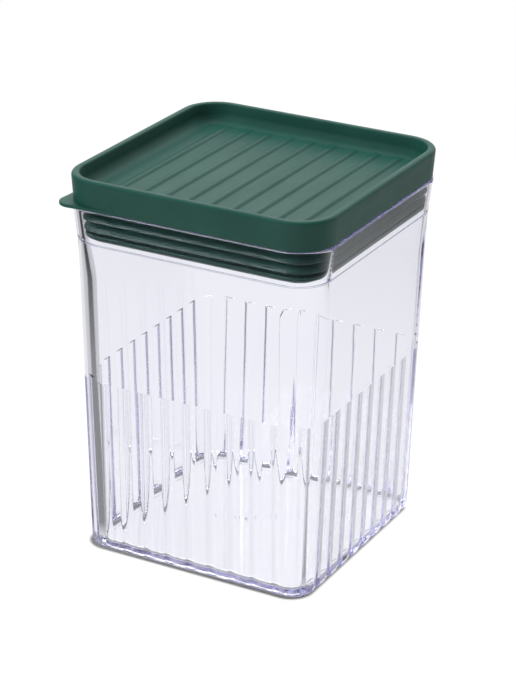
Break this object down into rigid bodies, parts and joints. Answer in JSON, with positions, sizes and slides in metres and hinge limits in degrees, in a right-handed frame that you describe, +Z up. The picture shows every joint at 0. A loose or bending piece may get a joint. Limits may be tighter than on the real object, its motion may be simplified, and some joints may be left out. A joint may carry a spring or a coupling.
{
  "type": "square food jar with lid",
  "caption": "Square clear plastic food jar with a grooved lower half, a flared mouth and a green push-in lid with a lipped seal, a stacking tray and a corner pull tab.",
  "frame": {"origin": "centre of the jar's base, on the surface it stands on", "axes": "+Z up out of the mouth, -Y out of the side with the pull tab's corner at its -X end, +X to its right"},
  "size_m": [0.1004, 0.1004, 0.141],
  "materials": {
    "clear_plastic": "clear polished",
    "green_plastic": "satin",
    "green_rubber": "matte"
  },
  "bodies": {
    "jar": {"jar": "clear_plastic"},
    "lid": {"lid": "green_plastic", "seal_ring": "green_rubber"}
  },
  "joints": [
    {"name": "lid_lift", "type": "slide", "parent": "jar", "child": "lid", "axis": [0, 0, 1], "range_m": [0, 0.12]}
  ]
}
